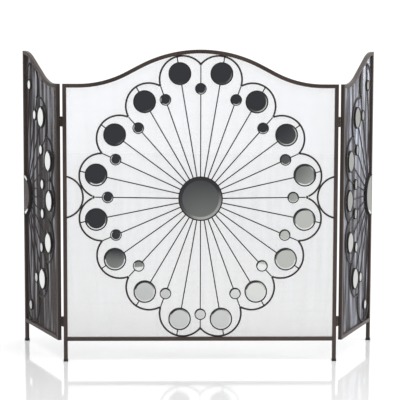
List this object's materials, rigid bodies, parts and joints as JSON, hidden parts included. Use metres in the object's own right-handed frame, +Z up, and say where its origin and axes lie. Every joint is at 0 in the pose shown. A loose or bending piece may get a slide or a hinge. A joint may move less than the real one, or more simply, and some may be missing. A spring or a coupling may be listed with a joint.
{
  "type": "folding fireplace screen",
  "caption": "Three-panel folding fireplace screen in dark bronze square tube with ogee tops, fine wire mesh and a bent-wire flower set with round bevelled mirrors.",
  "frame": {"origin": "on the floor, at the middle of the screen's overall box with both side panels part folded", "axes": "+X to the viewer's right along the centre panel, +Y away from the room towards the hearth, +Z up"},
  "size_m": [0.9752, 0.2956, 0.81],
  "materials": {
    "bronze_frame": "satin dark bronze powder coat",
    "dark_wire": "satin dark bronze powder coat over bent wire",
    "hinge_steel": "painted over with the frame, slightly worn at the knuckles",
    "wire_mesh": "fine steel wire cloth, lightly lacquered",
    "foot_plastic": "moulded dark cap",
    "mirror_glass": "silvered glass with a ground bevel"
  },
  "bodies": {
    "centre_panel": {"bottom_rail": "bronze_frame", "centre_feet": "foot_plastic", "centre_hub_cup": "dark_wire", "centre_hub_mirror": "mirror_glass", "centre_large_cups": "dark_wire", "centre_large_mirrors": "mirror_glass", "centre_large_spokes": "dark_wire", "centre_mesh": "wire_mesh", "centre_petals": "dark_wire", "centre_side_arcs": "dark_wire", "centre_small_cups": "dark_wire", "centre_small_mirrors": "mirror_glass", "centre_small_spokes": "dark_wire", "centre_struts": "dark_wire", "left_lower_fixed_leaf": "hinge_steel", "left_lower_pin": "hinge_steel", "left_post": "bronze_frame", "left_upper_fixed_leaf": "hinge_steel", "left_upper_pin": "hinge_steel", "right_lower_fixed_leaf": "hinge_steel", "right_lower_pin": "hinge_steel", "right_post": "bronze_frame", "right_upper_fixed_leaf": "hinge_steel", "right_upper_pin": "hinge_steel", "top_rail": "bronze_frame"},
    "left_panel": {"left_bottom_rail": "bronze_frame", "left_foot": "foot_plastic", "left_hinge_post": "bronze_frame", "left_hub_cup": "dark_wire", "left_hub_mirror": "mirror_glass", "left_large_cups": "dark_wire", "left_large_mirrors": "mirror_glass", "left_lower_moving_leaf": "hinge_steel", "left_mesh": "wire_mesh", "left_outer_post": "bronze_frame", "left_petals": "dark_wire", "left_small_cups": "dark_wire", "left_small_mirrors": "mirror_glass", "left_spokes": "dark_wire", "left_struts": "dark_wire", "left_top_rail": "bronze_frame", "left_upper_moving_leaf": "hinge_steel"},
    "right_panel": {"right_bottom_rail": "bronze_frame", "right_foot": "foot_plastic", "right_hinge_post": "bronze_frame", "right_hub_cup": "dark_wire", "right_hub_mirror": "mirror_glass", "right_large_cups": "dark_wire", "right_large_mirrors": "mirror_glass", "right_lower_moving_leaf": "hinge_steel", "right_mesh": "wire_mesh", "right_outer_post": "bronze_frame", "right_petals": "dark_wire", "right_small_cups": "dark_wire", "right_small_mirrors": "mirror_glass", "right_spokes": "dark_wire", "right_struts": "dark_wire", "right_top_rail": "bronze_frame", "right_upper_moving_leaf": "hinge_steel"}
  },
  "joints": [
    {"name": "left_fold", "type": "hinge", "parent": "centre_panel", "child": "left_panel", "pos_m": [-0.35885, -0.13445, 0.3645], "axis": [0, 0, -1], "range_deg": [-67.5, 112.5]},
    {"name": "right_fold", "type": "hinge", "parent": "centre_panel", "child": "right_panel", "pos_m": [0.35885, -0.13445, 0.3645], "axis": [0, 0, 1], "range_deg": [-67.5, 112.5]}
  ]
}
